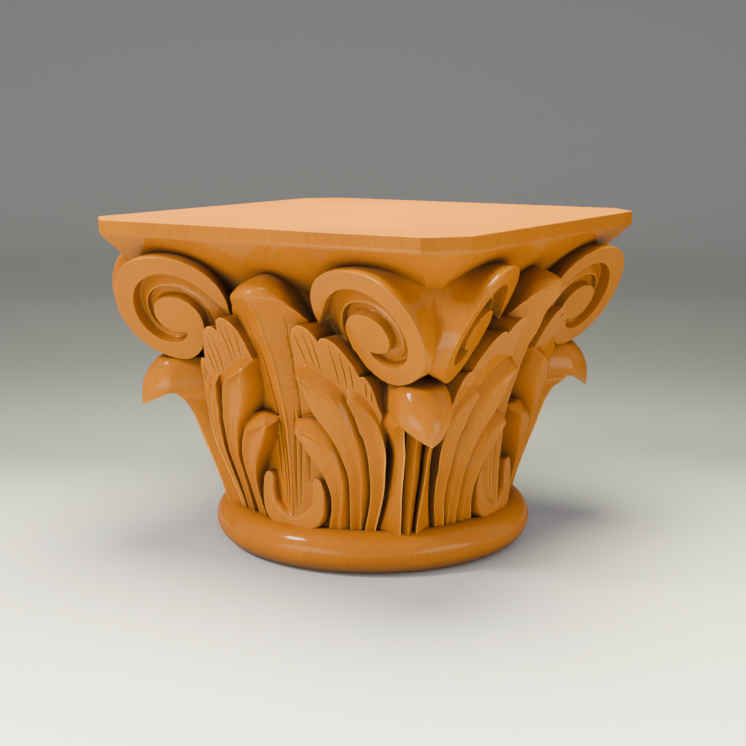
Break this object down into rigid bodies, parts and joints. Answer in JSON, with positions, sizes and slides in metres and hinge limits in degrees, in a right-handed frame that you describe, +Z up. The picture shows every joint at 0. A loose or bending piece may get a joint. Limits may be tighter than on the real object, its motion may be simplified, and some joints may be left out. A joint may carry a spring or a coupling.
{
  "type": "carved column capital",
  "caption": "Square-topped wooden capital carved with acanthus leaves and corner scrolls over a round foot ring, finished in clear amber lacquer.",
  "frame": {"origin": "centre of the flat underside of the foot ring", "axes": "+Z up along the column's axis, -Y out of one carved side"},
  "size_m": [0.3088, 0.3088, 0.2385],
  "materials": {
    "lacquered_wood": "Fine-grained hardwood under a clear amber gloss lacquer."
  },
  "bodies": {
    "root": {"carved_capital": "lacquered_wood"}
  },
  "joints": []
}
